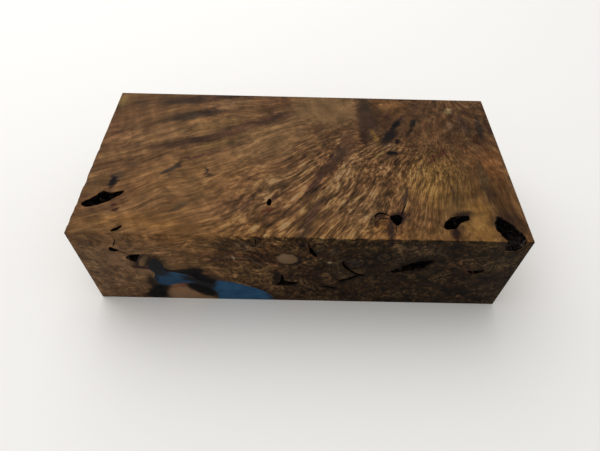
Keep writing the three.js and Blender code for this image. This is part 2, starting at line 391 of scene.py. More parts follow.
# Maple burl, sanded and oiled. The oil makes it deep and warm, and sanding leaves it a dull satin
# with hardly a reflection, so the eye sees the figure. The fibres fan out from a heart just behind
# the back face: the top shows long curving figure, pale rays and smoky stains, and the right of
# the front shows dark curled end grain. All sizes are in millimetres.
burl = {
    "heart": Vector((49, 40, 20)),
    "reach": 75,  # distance from the heart at which the cross-grain measure is true
    "closest": 14,  # nearer the heart than this, the figure gets no finer with height
    "levelLean": 25,  # degrees, the lie of the straight fibres at the left
    "levelAt": Vector((-25, 5)),
    "levelFrom": -12,  # the fan gives way to straight fibres between these two
    "levelTo": -45,
    # Waves: scale, reach and detail.
    "sway": (0.04, 8, 1),  # the slow ones in the grain
    "ripple": (0.14, 0.5, 2),  # the quick ones
    "stir": (0.5, 2, 2),  # those in the edges of the stains
    "loosen": (0.6, 1.4, 3),  # and in the edges of the marks over the figure
    "rag": 4,  # how far the fibres draw out the edges of a stain
    # Figure along the grain: scale, the share of it kept along the fibres, detail, roughness.
    "band": (0.15, 0.16, 3),
    "warmth": (0.07, 0.4, 2),
    "fineLines": (1.1, 0.05, 2),
    "streaks": (0.11, 0.7, 4),
    "rays": (0.52, 0.06, 3),
    "fibres": (1.35, 0.085, 4, 0.66),
    "flecks": (0.8, 0.28, 5, 0.7),
    "curl": (0.12, 3.2, 2),
    "threads": (0.33, 0.1, 2),
    "mottle": {"Scale": 0.16, "Detail": 3},
    "burr": {"Scale": 0.34, "Detail": 6, "Roughness": 0.68, "Distortion": 1.8},
    "bandStops": [(0.3, "4c3424"), (0.42, "604532"), (0.52, "6f543c"), (0.64, "80644a")],
    "warmTint": "7a4f3a",
    "warmFrom": 0.5,  # that tint comes in as the warmth noise goes from here
    "warmTo": 0.68,  # to here
    "warmShare": 0.35,
    "threadTint": "3a2419",  # bark and resin in fine threads
    "threadWidth": 0.02,
    "threadShare": 0.4,
    "rayContrast": 4.6,
    "fibreContrast": 5.2,
    "fleckContrast": 5,
    "curlContrast": 1.2,
    "mottleContrast": 0.8,
    "streakContrast": 3.4,  # of the broad streaks that close in on the heart
    "streakFrom": 48,  # how near the heart they start, and are at their full strength
    "streakFull": 22,
    "burrContrast": 8.3,  # the curled figure of the end grain
    "burrFrom": 0.25,  # how square on the grain ends where it starts, and is at full strength
    "burrFull": 0.85,
    "endFrom": 0.5,  # the same for the dark of the end grain
    "endFull": 0.97,
    "endTint": (0.2, 0.22, 0.225),  # what is left of each colour where the grain ends square on
    "endShow": (0.8, 1, 0.5),  # how much each pair of faces shows it: the ends, front and top
    # Where the figure is bold: place, half sizes, turn, how far out it fades, and what is left.
    "bold": ((12, -14), (40, 22), 40, 0.5, 1.4, 0.4),
    "calmFrom": 0.8,  # a quiet patch fades between these shares of its half sizes
    "calmTo": 1.15,
    # Where it is quiet: place, half sizes, turn and how much of it stays.
    "calm": [((8.5, 25), (10.5, 8.5), 0, 0.15), ((39.5, 26), (6, 5), 80, 0.35),
             ((14.5, 6), (7, 2.2), 80, 0.35), ((-50, 22), (16, 11), 10, 0.6),
             ((21.5, 20), (12, 4), 90, 0.25), ((38, 20), (14, 13), 0, 0.6),
             ((9, -3.5), (10, 1.7), 55, 0.35), ((4, -24), (9, 1.6), 75, 0.35),
             ((50.5, -25), (6.4, 3), 88, 0.4)],
    "roughness": (0.42, 0.62),
    "palest": (0.3, 0.19, 0.1),  # linear, the lightest that any fibre gets
    "sheen": 0.04,  # how much of the usual gloss sanded and oiled wood keeps
    "oil": (0.7, 0.63, 0.49),  # how the oil deepens and warms the bare colours
    "relief": 0.00006,  # metres, height of the raised grain
    "topReach": 6,  # how deep a mark on the top goes
    "frontReach": 5,  # and one on the front
    "wallFrom": 0.11,  # the walls of voids and cracks are painted dark from this depth: partly the dark bark that lines them, partly painted shade of the hollow
    "wallTo": 0.22,  # to this, under the nearest face
    # Wall colours: near black for the dark bark under painted shade, up to a lighter stop that
    # paints glints on the glossy walls.
    "wallBarkShadeAndGlintStops": [(0.44, "070505"), (0.57, "171210"), (0.72, "544840")],
    "wallRoughness": 0.34,
    "endSpare": 0.45,  # the saw marks on the end stay within this
    # Painted highlights and lit facets on the walls of the corner void, laid as the marks below
    # are.
    "paintedGleams": [((55.1, -25), (0.9, 3), 8, "5d5550", 0.75, 0.6),
               ((56.7, -31), (1.8, 0.7), 60, "241d1a", 0.7, 0.6),
               ((59.6, -28.2), (1.8, 0.6), -50, "2c2420", 0.7, 0.6),
               ((61.3, -30.4), (0.5, 0.4), 0, "4a423c", 0.6, 0.6)],
}

# Stains and figure on the top: place, half length and half width, turn in degrees, colour,
# how well it covers, and how far its edge fades.
topMarks = [
    # broad tones
    ((-35, 2), (25, 32), 15, "94714f", 0.4, 0.7),
    ((-33, -9), (15, 7), 18, "9a744d", 0.4, 0.8),
    ((-9, 8), (14, 8), 38, "927355", 0.6, 0.8),
    ((-30, -22), (16, 7), 12, "8d6c49", 0.5, 0.8),
    ((-52, 13), (12, 14), 0, "7e6149", 0.4, 0.8),
    ((29, 19), (13, 9), 70, "3f2c21", 0.85, 0.6),
    ((36, 3), (13, 7), 20, "4a3424", 0.75, 0.8),
    ((54, 20), (10, 10), 90, "4b3628", 0.7, 0.8),
    ((32, 1), (12, 16), 80, "50382a", 0.35, 0.8),
    ((12, 6), (8, 8), 50, "5b4331", 0.35, 0.8),
    ((-22, 29), (16, 3), 8, "5f4737", 0.4, 0.8),
    ((-50, -28), (14, 3.4), 6, "9a7140", 0.5, 0.8),
    ((0, -30), (60, 4), 0, "8a6638", 0.35, 0.8),
    ((14, -12), (32, 17), 40, "785a3f", 0.5, 0.8),
    ((47, -14), (15, 15), 90, "644b2a", 0.5, 0.8),
    # smoky streaks, left
    ((-38, 28.2), (18, 2), 9, "4a372e", 0.85, 0.6),
    ((-40, 26.8), (6, 1.3), 8, "3a2d26", 0.7, 0.7),
    ((-25, 30.9), (8, 1.2), 5, "3a2a25", 0.85, 0.5),
    ((-33.5, 20.6), (12, 2.1), 17, "45352a", 0.95, 0.5),
    ((-31.5, 22), (6, 1.2), 20, "2c2019", 0.85, 0.6),
    ((-38.5, 19.2), (5, 1.8), 10, "463a30", 0.75, 0.6),
    ((-47, 15.8), (4.4, 0.9), 25, "54402f", 0.7, 0.7),
    ((-41, 4.9), (6, 1), 15, "34261f", 0.9, 0.6),
    ((-32.9, 7.5), (4.2, 1.3), 4, "2b1e20", 0.95, 0.6),
    ((-36, 6), (11, 1.9), 14, "513b30", 0.7, 0.7),
    ((-22, 12.4), (11, 2.6), 28, "533b30", 0.75, 0.6),
    ((-8.5, 19), (8.5, 2.6), 30, "4a342c", 0.8, 0.6),
    ((-9, 19.5), (5, 1.3), 35, "3f2c26", 0.6, 0.6),
    ((-33.5, -0.7), (4.4, 0.5), 14, "5a3a36", 0.75, 0.5),
    ((-27, 1.5), (4.2, 0.5), 22, "5e403a", 0.6, 0.6),
    ((-20, 5.3), (4.6, 0.5), 38, "5e4336", 0.55, 0.6),
    # a pale orange spot: painted highlight
    ((-37, -19.2), (1.8, 0.9), 50, "a3744c", 0.5, 0.7),
    ((-19, -20.5), (8, 3), 20, "563c31", 0.55, 0.8),
    # pale figure, left and middle
    ((-29, 14.8), (9.5, 2), 20, "8b6e4a", 0.5, 0.8),
    ((-26, 25), (5.5, 1.8), 15, "8d6d54", 0.6, 0.7),
    ((-26, 5.8), (8, 1.5), 22, "866d48", 0.55, 0.8),
    ((-15.6, 9.7), (5, 3), 35, "8b6e50", 0.5, 0.8),
    ((-61, 11.8), (4, 2.2), 90, "875f4c", 0.5, 0.8),
    ((-62, 26), (3, 1.5), 90, "8b784e", 0.5, 0.8),
    # the smooth patch and the dark band beside it
    ((9.5, 25), (10.5, 8.8), 0, "80664c", 0.8, 0.3),
    ((1, 24), (6, 6), 0, "7c6249", 0.5, 0.7),
    ((21.6, 20.5), (12.5, 3.1), 92, "44322a", 0.95, 0.35),
    ((22, 25.6), (3.2, 1.4), 90, "3a3226", 0.85, 0.6),
    ((20.3, 9.6), (4, 1.1), 100, "39261f", 0.9, 0.4),
    ((24.2, 10.4), (3.8, 1.1), 112, "8c6b3c", 0.65, 0.5),
    ((14.5, 6.5), (6, 2.4), 85, "5f4537", 0.7, 0.5),
    # dark figure, right
    ((28.3, 6), (2.2, 1.8), 5, "6d5644", 0.72, 0.6),
    ((40.5, 26), (6.5, 6.8), 80, "563f2f", 0.87, 0.5),
    ((31, 27), (4.3, 4.7), 90, "835f3e", 0.62, 0.7),
    ((50.4, 25), (1.6, 1.2), 60, "8b7a60", 0.8, 0.5),
    ((49.6, 17.2), (1.8, 1.1), 95, "7d6254", 0.7, 0.5),
    ((53.2, 18), (4.4, 1.4), 82, "46342a", 0.85, 0.5),
    ((54.4, 16.5), (4.5, 1.6), 96, "42322a", 0.92, 0.5),
    ((59.2, 16), (6.7, 1.1), 88, "352b28", 0.97, 0.5),
    ((62.4, 17.6), (5.8, 0.8), 90, "402c25", 0.87, 0.5),
    ((56.7, 10.6), (2.5, 0.9), 75, "472a1c", 0.87, 0.5),
    ((58.3, -1), (5.9, 5.4), 80, "7a4f30", 0.62, 0.7),
    ((45, 4.1), (1.4, 0.7), 30, "532c22", 0.77, 0.5),
    ((55, -8), (8.9, 1.5), 90, "50402f", 0.82, 0.5),
    ((55.5, -14), (2.8, 1.1), 92, "3f2d27", 0.72, 0.6),
    ((44.7, -10), (7.1, 0.5), 86, "4b362e", 0.77, 0.5),
    ((46.6, -9), (5, 0.4), 83, "4f382d", 0.77, 0.5),
    ((40.5, -10), (9.7, 8.1), 85, "886a40", 0.62, 0.7),
    ((50.5, -25), (7.1, 4.6), 88, "916e41", 0.82, 0.4),
    ((50, -24), (2.6, 2.7), 90, "9f7b4f", 0.67, 0.6),
    # knots by the front voids
    ((23, -26), (1.7, 1.4), 40, "7a5530", 0.75, 0.6),
    ((21.1, -25.6), (2.3, 0.5), 88, "38200f", 0.9, 0.5),
    ((24.6, -29), (3.1, 0.8), 86, "3c2620", 0.85, 0.5),
    ((27.9, -23.1), (1.9, 1.2), 30, "331f22", 0.8, 0.6),
    ((42.5, -29), (2.7, 1), 88, "3c271d", 0.8, 0.6),
    ((46, -21.7), (2.7, 0.6), 12, "463228", 0.75, 0.6),
    # purple stripes and pale rays, middle
    ((11.6, 1.4), (4.6, 2), 56, "40302a", 0.9, 0.4),
    ((7.6, -5.4), (5, 1.9), 53, "443027", 0.9, 0.4),
    ((3.8, -12), (4.6, 1.7), 60, "443028", 0.9, 0.4),
    ((5.4, -18), (2.9, 1.3), 60, "48352d", 0.8, 0.5),
    ((3, -23.6), (4.6, 1.6), 68, "48342c", 0.85, 0.5),
    ((1, -29.4), (3.2, 2), 75, "46342a", 0.9, 0.5),
    ((12.2, -5.6), (5.6, 0.9), 59, "98785a", 0.85, 0.5),
    ((7.4, -14), (4.8, 0.7), 55, "9a7a58", 0.9, 0.5),
    ((1.4, -21), (4.2, 0.7), 53, "94744f", 0.8, 0.5),
    ((12.3, -9.8), (4.8, 0.4), 63, "a3825c", 0.85, 0.5),
    ((9, -17), (4.3, 0.4), 67, "9f7f5a", 0.8, 0.5),
]

# Small dark spots, laid over the finished figure.
topSpots = [
    ((-37.8, -4.6), (2.6, 0.9), 55, "241b15", 0.9, 0.6),
    ((-39.4, -6.4), (2.4, 1), 40, "3a3029", 0.6, 0.7),
    ((-40.7, -7.4), (1.8, 0.5), 30, "2c211a", 0.8, 0.6),
    ((-28.5, -6.9), (2, 0.55), 105, "2b2319", 0.9, 0.6),
    ((-27, -8.5), (1.6, 0.6), 10, "2b2319", 0.8, 0.6),
    ((-54.6, -9.4), (2, 1.3), 70, "3c342e", 0.4, 0.7),
    ((-55.4, -12), (2.6, 1.2), 98, "0d0a09", 1, 0.5),
    ((-52, -5), (2, 1), 30, "40342a", 0.4, 0.8),
    ((-52.7, -21.1), (0.9, 0.5), 10, "3a130d", 0.95, 0.4),
    ((-52, -22.8), (1.2, 0.5), 25, "2f120c", 0.95, 0.4),
    ((-34.6, -21.4), (3, 0.9), 40, "352c20", 0.65, 0.7),
    ((-9.4, -21.8), (2, 0.8), 20, "451d13", 0.8, 0.6),
    ((-7.6, -17), (1.6, 0.8), 70, "3a2219", 0.7, 0.6),
    ((26.8, 9.2), (4, 1), 52, "201614", 0.8, 0.6),
    ((28.8, 11.4), (4.2, 1.8), 62, "140f0f", 0.95, 0.6),
    ((31.5, 17), (3.2, 1.1), 57, "0b0b0d", 1, 0.5),
    ((33.6, 20.4), (2, 0.6), 60, "2e211d", 0.8, 0.6),
    ((29.4, 22.6), (2.2, 0.6), 65, "33201a", 0.6, 0.6),
    ((30.9, 8.5), (1.5, 0.8), 80, "17100d", 1, 0.5),
    ((35.6, 13.4), (2.4, 0.7), 58, "20180f", 0.95, 0.5),
    ((37.3, 17.8), (2.3, 0.9), 62, "171612", 1, 0.5),
    ((28.2, 2.7), (2.2, 0.9), 5, "0b0908", 1, 0.45),
    ((24.3, 2), (2.4, 0.5), 52, "84703e", 0.55, 0.6),
    ((42.3, 1.9), (3.2, 0.55), 20, "401b16", 0.7, 0.6),
    ((40.4, -0.3), (1.9, 0.45), 35, "401b16", 0.7, 0.6),
    ((44.6, -14), (3, 0.4), 84, "33231d", 0.7, 0.5),
    ((36.4, -4), (2.4, 0.4), 70, "3f2c20", 0.6, 0.5),
    ((30.4, -15.8), (3.4, 0.7), 75, "30261f", 0.8, 0.6),
    ((27.4, -24), (3, 2.2), 40, "1a0f10", 0.9, 0.6),
    ((22, -22.8), (2.2, 1.1), 15, "1f140e", 0.85, 0.6),
    ((24.9, -28.6), (3, 0.8), 86, "1f1614", 0.8, 0.6),
    ((45.4, -22.8), (3.2, 1.5), 20, "211614", 0.85, 0.6),
    ((42.6, -28.4), (2.8, 1), 85, "1c110e", 0.85, 0.6),
    ((57.5, -25.4), (4.6, 4.6), 0, "221713", 0.7, 0.5),
]

# The same for the front, with places across it and up it: broad tones under the figure.
frontTones = [
    ((-54, 14), (15, 24), 0, "7a6350", 0.6, 0.7),
    ((-19.5, 30), (7.4, 2.6), 0, "3f382c", 0.6, 0.7),
    ((32, 29.5), (5.4, 2.5), 0, "b08a74", 0.5, 0.8),
    ((-14, 16), (9, 5), -10, "7c6245", 0.4, 0.8),
    ((-0.5, 6), (8, 3.4), 0, "35261d", 0.4, 0.8),
]

# And the marks over it.
frontMarks = [
    # the pale sliver, the lobe and the red line by the resin's branch
    ((-45.6, 21), (3.8, 1.9), 60, "1a1211", 0.9, 0.3),
    ((-45.2, 21), (3, 1), 60, "6e5438", 0.95, 0.4),
    ((-46.2, 15.2), (2.5, 1.6), -20, "74593f", 0.75, 0.6),
    ((-46.4, 17.7), (3.4, 0.7), -10, "2e1718", 0.95, 0.5),
    ((-53, 22), (2.2, 3), 10, "74563e", 0.55, 0.7),
    # charcoal along the resin
    ((-40.8, 16.6), (2.4, 1.5), -20, "0d0b0a", 1, 0.5),
    ((-36.6, 15.8), (3, 0.7), -16, "0f0d0c", 0.9, 0.6),
    ((-33.2, 15.4), (3, 1.7), -14, "0c0a0a", 1, 0.5),
    ((-31.2, 15.8), (2.2, 2.8), -60, "0c0a0a", 1, 0.4),
    ((-28.6, 11.8), (5, 2.5), -36, "050405", 1, 0.3),
    ((-25, 12.6), (3.4, 1.6), -30, "2a201a", 0.7, 0.7),
    ((-14, 8.6), (6, 0.8), -38, "1a120d", 0.6, 0.6),
    ((-44, 4.2), (5.6, 3), 58, "080607", 1, 0.3),
    ((-46.6, 2.6), (3, 1.3), 15, "0b0809", 0.9, 0.6),
    ((-44.9, 10), (1.5, 4.2), 4, "0d0b0b", 0.85, 0.6),
    ((-42.2, 20.4), (3, 3.2), 0, "14100e", 0.8, 0.5),
    ((-41, 1), (2, 3.4), 0, "080607", 0.95, 0.4),
    ((-36.4, 2.2), (5, 5.2), 0, "82634a", 0.78, 0.3),
    ((-31, 0.2), (5, 2), 0, "725842", 0.9, 0.35),
    ((-30, 6.2), (5.8, 2.9), -38, "050405", 1, 0.3),
    ((-36.4, 8.2), (1.6, 0.9), 20, "6b3f36", 0.6, 0.6),
    # pale veins and the plain eye, middle
    ((-17.3, 23.6), (3.2, 0.25), -8, "665442", 0.6, 0.7),
    ((-12, 20.9), (3.6, 0.25), -48, "5e4e3c", 0.55, 0.7),
    ((-9.8, 17.6), (2.6, 0.25), -86, "5a4a38", 0.45, 0.7),
    ((-19, 23.7), (0.4, 0.8), 0, "8f7d66", 0.8, 0.7),
    ((-24, 22.9), (3.2, 0.5), 32, "261b15", 0.7, 0.6),
    ((-16, 27), (7, 0.25), 28, "5e4e3c", 0.55, 0.7),
    # the plain eye: its own dark rim, shifted to the right and bottom as painted shade, and a paler
    # spot at its upper left as a painted highlight
    ((-2.9, 23.4), (3.7, 3.1), 0, "130d09", 0.85, 0.2),
    ((-3.6, 23.6), (2.9, 2.5), 0, "6a533b", 0.92, 0.2),
    ((-4.4, 24.2), (1.6, 1.3), 0, "78604a", 0.5, 0.7),
    # the dark basin above the resin's right lobe
    ((-6.6, 14.6), (1.2, 3.6), 0, "110c09", 0.9, 0.5),
    ((-3.6, 10.4), (4.6, 1.4), 0, "0c0806", 0.9, 0.5),
    ((9, 8.6), (3.4, 0.6), -6, "0c0806", 0.8, 0.5),
    ((14.2, 19.4), (4.8, 0.7), -56, "080504", 0.8, 0.6),
    ((15.6, 13.8), (4.6, 0.8), 35, "080504", 0.8, 0.6),
    ((19.4, 15.4), (2.4, 0.6), -10, "080504", 0.7, 0.6),
    # eyes, specks and blotches, right
    ((16, 22.4), (2.1, 1.3), 0, "251e1c", 0.7, 0.4),
    ((18.7, 20.4), (1.8, 1.2), -30, "241c17", 0.6, 0.5),
    ((25.8, 11.4), (1.5, 0.8), 15, "1c0907", 0.8, 0.6),
    # a broad near-black patch around the void on the right: painted shadow about the hollow
    ((34, 21.8), (7, 3.2), 28, "080504", 0.7, 0.6),
    ((42.3, 30.5), (1.9, 1.2), 10, "100c09", 0.8, 0.5),
    ((52, 6.6), (1.8, 1.5), 20, "0c0806", 0.8, 0.6),
    ((58, 3.5), (2.4, 1.4), 10, "0c0705", 0.8, 0.6),
    ((45.8, 8), (1.4, 2.8), 25, "0d0907", 0.8, 0.6),
    ((28, 2.2), (2.6, 1.2), 10, "0c0907", 0.7, 0.6),
    ((44.5, 1.6), (1.4, 2), 0, "0c0907", 0.7, 0.6),
    ((8.75, 22), (0.6, 0.5), 0, "86765e", 0.8, 0.7),
    ((9.2, 27.4), (0.5, 2.2), 0, "3f362b", 0.6, 0.6),
    ((10.8, 27), (0.4, 1.8), 5, "3b3228", 0.6, 0.6),
    ((38.4, 29), (3.6, 0.3), 78, "3c342a", 0.6, 0.6),
    ((36.6, 28.6), (3.2, 0.3), 95, "3c342a", 0.5, 0.6),
    ((40, 27.4), (2.6, 0.3), 60, "3a3228", 0.6, 0.6),
]

# Burl eyes on the front, as rings: place, half sizes, colour, how well it covers, how wide.
frontRings = [
    ((16, 22.2), (3.2, 2.6), "060403", 0.9, 0.2),
    ((16.6, 21.6), (1.7, 1.3), "332a22", 0.5, 0.25),
    ((23.8, 25.2), (2.2, 2.1), "0a0605", 0.85, 0.25),
    ((23.8, 25.2), (1.5, 1.5), "3a3128", 0.6, 0.3),
    ((28.7, 24.1), (1.4, 1.1), "372f26", 0.55, 0.35),
    ((33, 26.6), (1.5, 1.2), "352c24", 0.5, 0.35),
    ((5.4, 29), (1.8, 2.2), "0f0a08", 0.8, 0.3),
    ((5.6, 28.8), (1, 1.3), "3f362b", 0.6, 0.35),
    ((-16, 29.6), (1.6, 1.3), "5a4d3e", 0.5, 0.35),
    ((13.6, 19.6), (3.8, 4.6), "3a3129", 0.3, 0.12),
]


# The cross-grain measure of the straight fibres, made to agree with the fan where they meet.
def straightGrain():
    lean = math.radians(burl["levelLean"])
    run = burl["heart"].xy - burl["levelAt"]
    slope = Vector((math.sin(lean), -math.cos(lean), 0)) * burl["reach"] / run.length
    fan = math.atan2(run.y, run.x) * burl["reach"]
    return slope, fan - slope.xy.dot(burl["levelAt"]), Vector((math.cos(lean), math.sin(lean), 0))


# Where a place lies in the grain, across it, up through it and along it, and the fibres' way.
def grainNodes(tree, place):
    slope, start, way = straightGrain()
    run = addNode(tree, "VectorMath", {0: tuple(burl["heart"]), 1: place}, operation="SUBTRACT")
    parts = addNode(tree, "SeparateXYZ", {0: run}).outputs
    level = addNode(tree, "VectorMath", {0: run, 1: (1, 1, 0)}, operation="MULTIPLY")
    along = addNode(tree, "VectorMath", {0: level}, operation="LENGTH")
    turn = addNode(tree, "Math", {0: parts["Y"], 1: parts["X"]}, operation="ARCTAN2")
    fan = addNode(tree, "Math", {0: turn, 1: burl["reach"]}, operation="MULTIPLY")
    over = addNode(tree, "VectorMath", {0: place, 1: tuple(slope)}, operation="DOT_PRODUCT")
    straight = addNode(tree, "Math", {0: over, 1: start}, operation="ADD")
    x = addNode(tree, "SeparateXYZ", {0: place}).outputs["X"]
    share = addNode(
        tree, "MapRange", {0: x, 1: burl["levelFrom"], 2: burl["levelTo"]},
        interpolation_type="SMOOTHSTEP",
    )
    across = addNode(tree, "Mix", {0: share, 1: fan, 2: straight})
    clear = addNode(tree, "Math", {0: along, 1: burl["closest"]}, operation="MAXIMUM")
    rise = addNode(tree, "Math", {0: parts["Z"], 1: -burl["reach"]}, operation="MULTIPLY")
    lift = addNode(tree, "Math", {0: rise, 1: clear}, operation="DIVIDE")
    grain = addNode(tree, "CombineXYZ", {0: across, 1: lift, 2: along})
    towards = addNode(tree, "VectorMath", {0: run}, operation="NORMALIZE")
    fibre = addNode(
        tree, "Mix", {0: share, 1: towards, 2: tuple(way)}, data_type="VECTOR",
    )
    return grain, fibre


# A place shifted by noise, for waves and ragged edges.
def shaken(tree, place, scale, reach, detail):
    wave = addNode(tree, "TexNoise", {"Vector": place, "Scale": scale, "Detail": detail})
    centred = addNode(
        tree, "VectorMath", {0: wave.outputs["Color"], 1: (0.5, 0.5, 0.5)}, operation="SUBTRACT",
    )
    return addNode(
        tree, "VectorMath", {0: centred, 1: (reach, reach, reach), 2: place},
        operation="MULTIPLY_ADD",
    )


# Noise drawn out along the grain.
def grainFigure(tree, grain, scale, stretch, detail, roughness=0.55):
    drawn = addNode(tree, "VectorMath", {0: grain, 1: (1, 1, stretch)}, operation="MULTIPLY")
    feeds = {"Vector": drawn, "Scale": scale, "Detail": detail, "Roughness": roughness}
    return addNode(tree, "TexNoise", feeds)


# How far a place is from the middle of an oval patch, as a share of its half sizes. The patch is
# turned in the plane of the top or, onFront, of the front.
def ovalNodes(tree, place, centre, half, turn, onFront):
    if onFront:
        hub, sizes = (centre[0], low.y, centre[1]), (half[0], burl["frontReach"], half[1])
        axis, angle = "Y_AXIS", math.radians(turn)
    else:
        hub, sizes = (*centre, high.z), (*half, burl["topReach"])
        axis, angle = "Z_AXIS", math.radians(-turn)
    turned = addNode(
        tree, "VectorRotate", {"Vector": place, "Center": hub, "Angle": angle},
        rotation_type=axis,
    )
    shrink = [1 / each for each in sizes]
    shift = [-at / each for at, each in zip(hub, sizes)]
    local = addNode(
        tree, "VectorMath", {0: turned, 1: shrink, 2: shift}, operation="MULTIPLY_ADD",
    )
    return addNode(tree, "VectorMath", {0: local}, operation="LENGTH")


# Lays soft-edged oval patches over a colour.
def layMarks(tree, colour, place, marks, onFront):
    for centre, half, turn, tint, cover, fade in marks:
        away = ovalNodes(tree, place, centre, half, turn, onFront)
        mask = addNode(
            tree, "MapRange", {0: away, 1: 1 - fade, 2: 1 + fade, 3: cover, 4: 0},
            interpolation_type="SMOOTHSTEP",
        )
        colour = addNode(tree, "Mix", {0: mask, 1: colour, 2: paint(tint)}, data_type="RGBA")
    return colour


# Lays rings over a colour, on the front.
def layRings(tree, colour, place, rings):
    for centre, half, tint, cover, width in rings:
        away = ovalNodes(tree, place, centre, half, 0, True)
        gap = addNode(tree, "Math", {0: away, 1: 1}, operation="SUBTRACT")
        side = addNode(tree, "Math", {0: gap}, operation="ABSOLUTE")
        mask = addNode(
            tree, "MapRange", {0: side, 1: 0, 2: width, 3: cover, 4: 0},
            interpolation_type="SMOOTHSTEP",
        )
        colour = addNode(tree, "Mix", {0: mask, 1: colour, 2: paint(tint)}, data_type="RGBA")
    return colour


noiseLow, noiseHigh = 0.35, 0.65  # most of a noise's values lie between these


# Lightens and darkens a colour by a noise about its middle, in equal shares up and down.
def worked(tree, colour, figure, contrast):
    swing = addNode(tree, "Math", {0: figure, 1: 0.5}, operation="SUBTRACT")
    swing = addNode(tree, "Math", {0: swing, 1: contrast}, operation="MULTIPLY")
    gain = addNode(tree, "Math", {0: swing}, operation="EXPONENT")
    return addNode(tree, "VectorMath", {0: colour, 1: gain}, operation="SCALE")


